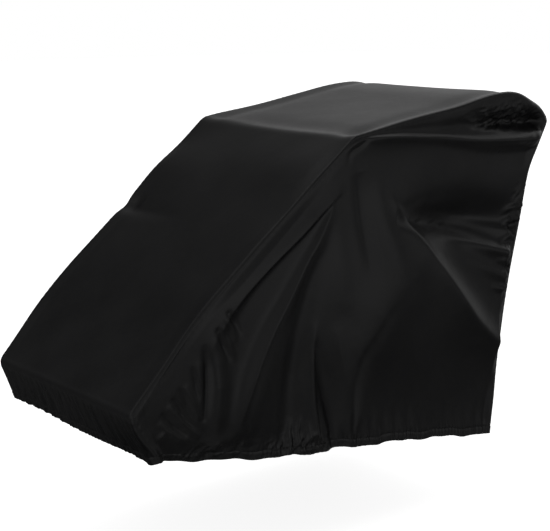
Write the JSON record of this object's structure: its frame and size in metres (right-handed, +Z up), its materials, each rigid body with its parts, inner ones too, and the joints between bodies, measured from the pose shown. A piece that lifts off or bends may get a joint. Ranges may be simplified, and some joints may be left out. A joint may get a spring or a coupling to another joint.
{
  "type": "bike trailer cover",
  "caption": "Fitted black cloth cover draped over a child bike trailer, with a low nose, a flat roof and a hood over the push handle; hollow and open below.",
  "frame": {"origin": "under the middle of the roof, where the trailer's roof bar carries the cover", "axes": "X across the trailer, -Y towards the low nose, +Y towards the push handle, +Z up"},
  "size_m": [0.7857, 1.4682, 1.0198],
  "materials": {
    "cover_cloth": "black coated polyester, satin"
  },
  "bodies": {
    "root": {"centre_panel": "cover_cloth", "side_panel_near": "cover_cloth", "side_panel_far": "cover_cloth"}
  },
  "joints": []
}
